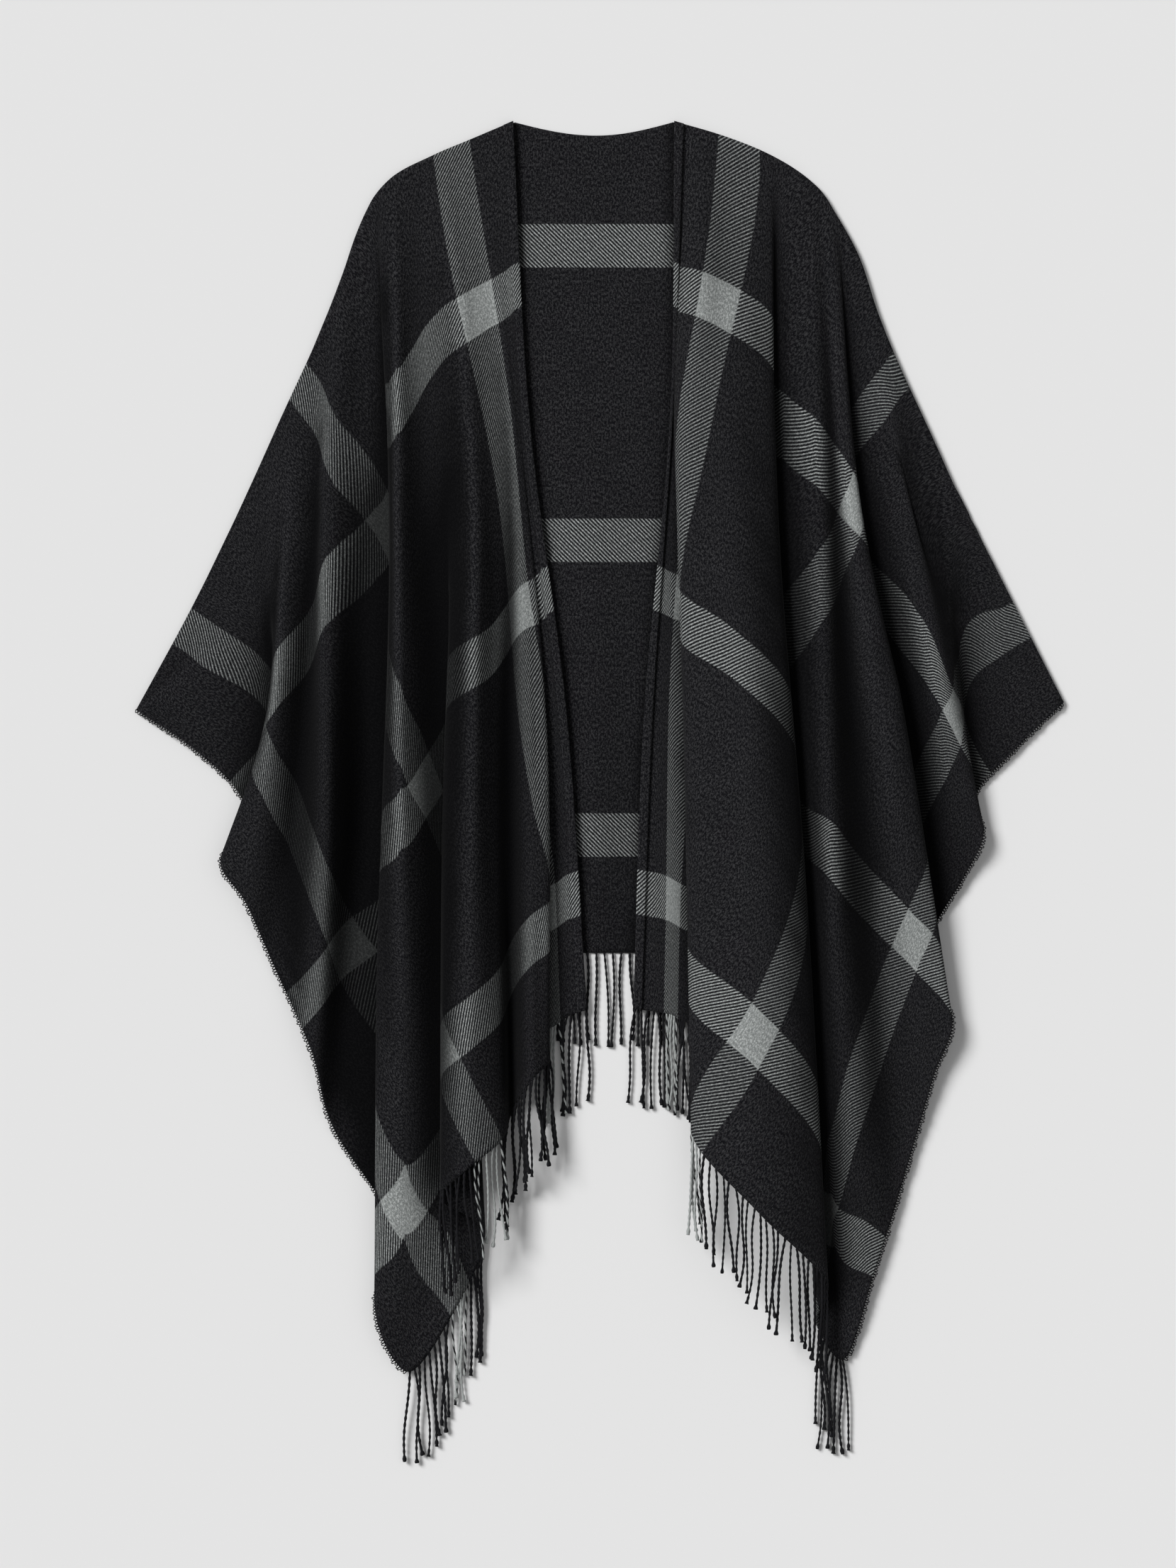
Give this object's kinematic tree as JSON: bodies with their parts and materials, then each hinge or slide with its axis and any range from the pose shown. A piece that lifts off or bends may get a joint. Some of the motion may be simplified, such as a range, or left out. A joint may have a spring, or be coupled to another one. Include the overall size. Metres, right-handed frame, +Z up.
{
  "type": "serape",
  "caption": "Open-fronted plaid wool wrap with fringed ends, laid flat on its back with both fronts in soft lengthwise folds.",
  "frame": {"origin": "centre of the bounding box, on the floor it lies on", "axes": "+X to the viewer's right, +Y from the hems to the neck, +Z up from the floor"},
  "size_m": [0.8489, 1.228, 0.0508],
  "materials": {
    "back": "brushed wool twill",
    "front_left": "brushed wool twill",
    "front_right": "brushed wool twill",
    "hem_left": "brushed wool twill",
    "hem_right": "brushed wool twill",
    "fringe_back": "twisted wool yarn",
    "fringe_left_1": "twisted wool yarn",
    "fringe_left_2": "twisted wool yarn",
    "fringe_left_3": "twisted wool yarn",
    "fringe_left_4": "twisted wool yarn",
    "fringe_right_1": "twisted wool yarn",
    "fringe_right_2": "twisted wool yarn",
    "fringe_right_3": "twisted wool yarn"
  },
  "bodies": {
    "root": {"back": "back", "front_left": "front_left", "front_right": "front_right", "hem_left": "hem_left", "hem_right": "hem_right", "fringe_back": "fringe_back", "fringe_left_1": "fringe_left_1", "fringe_left_2": "fringe_left_2", "fringe_left_3": "fringe_left_3", "fringe_left_4": "fringe_left_4", "fringe_right_1": "fringe_right_1", "fringe_right_2": "fringe_right_2", "fringe_right_3": "fringe_right_3"}
  },
  "joints": []
}
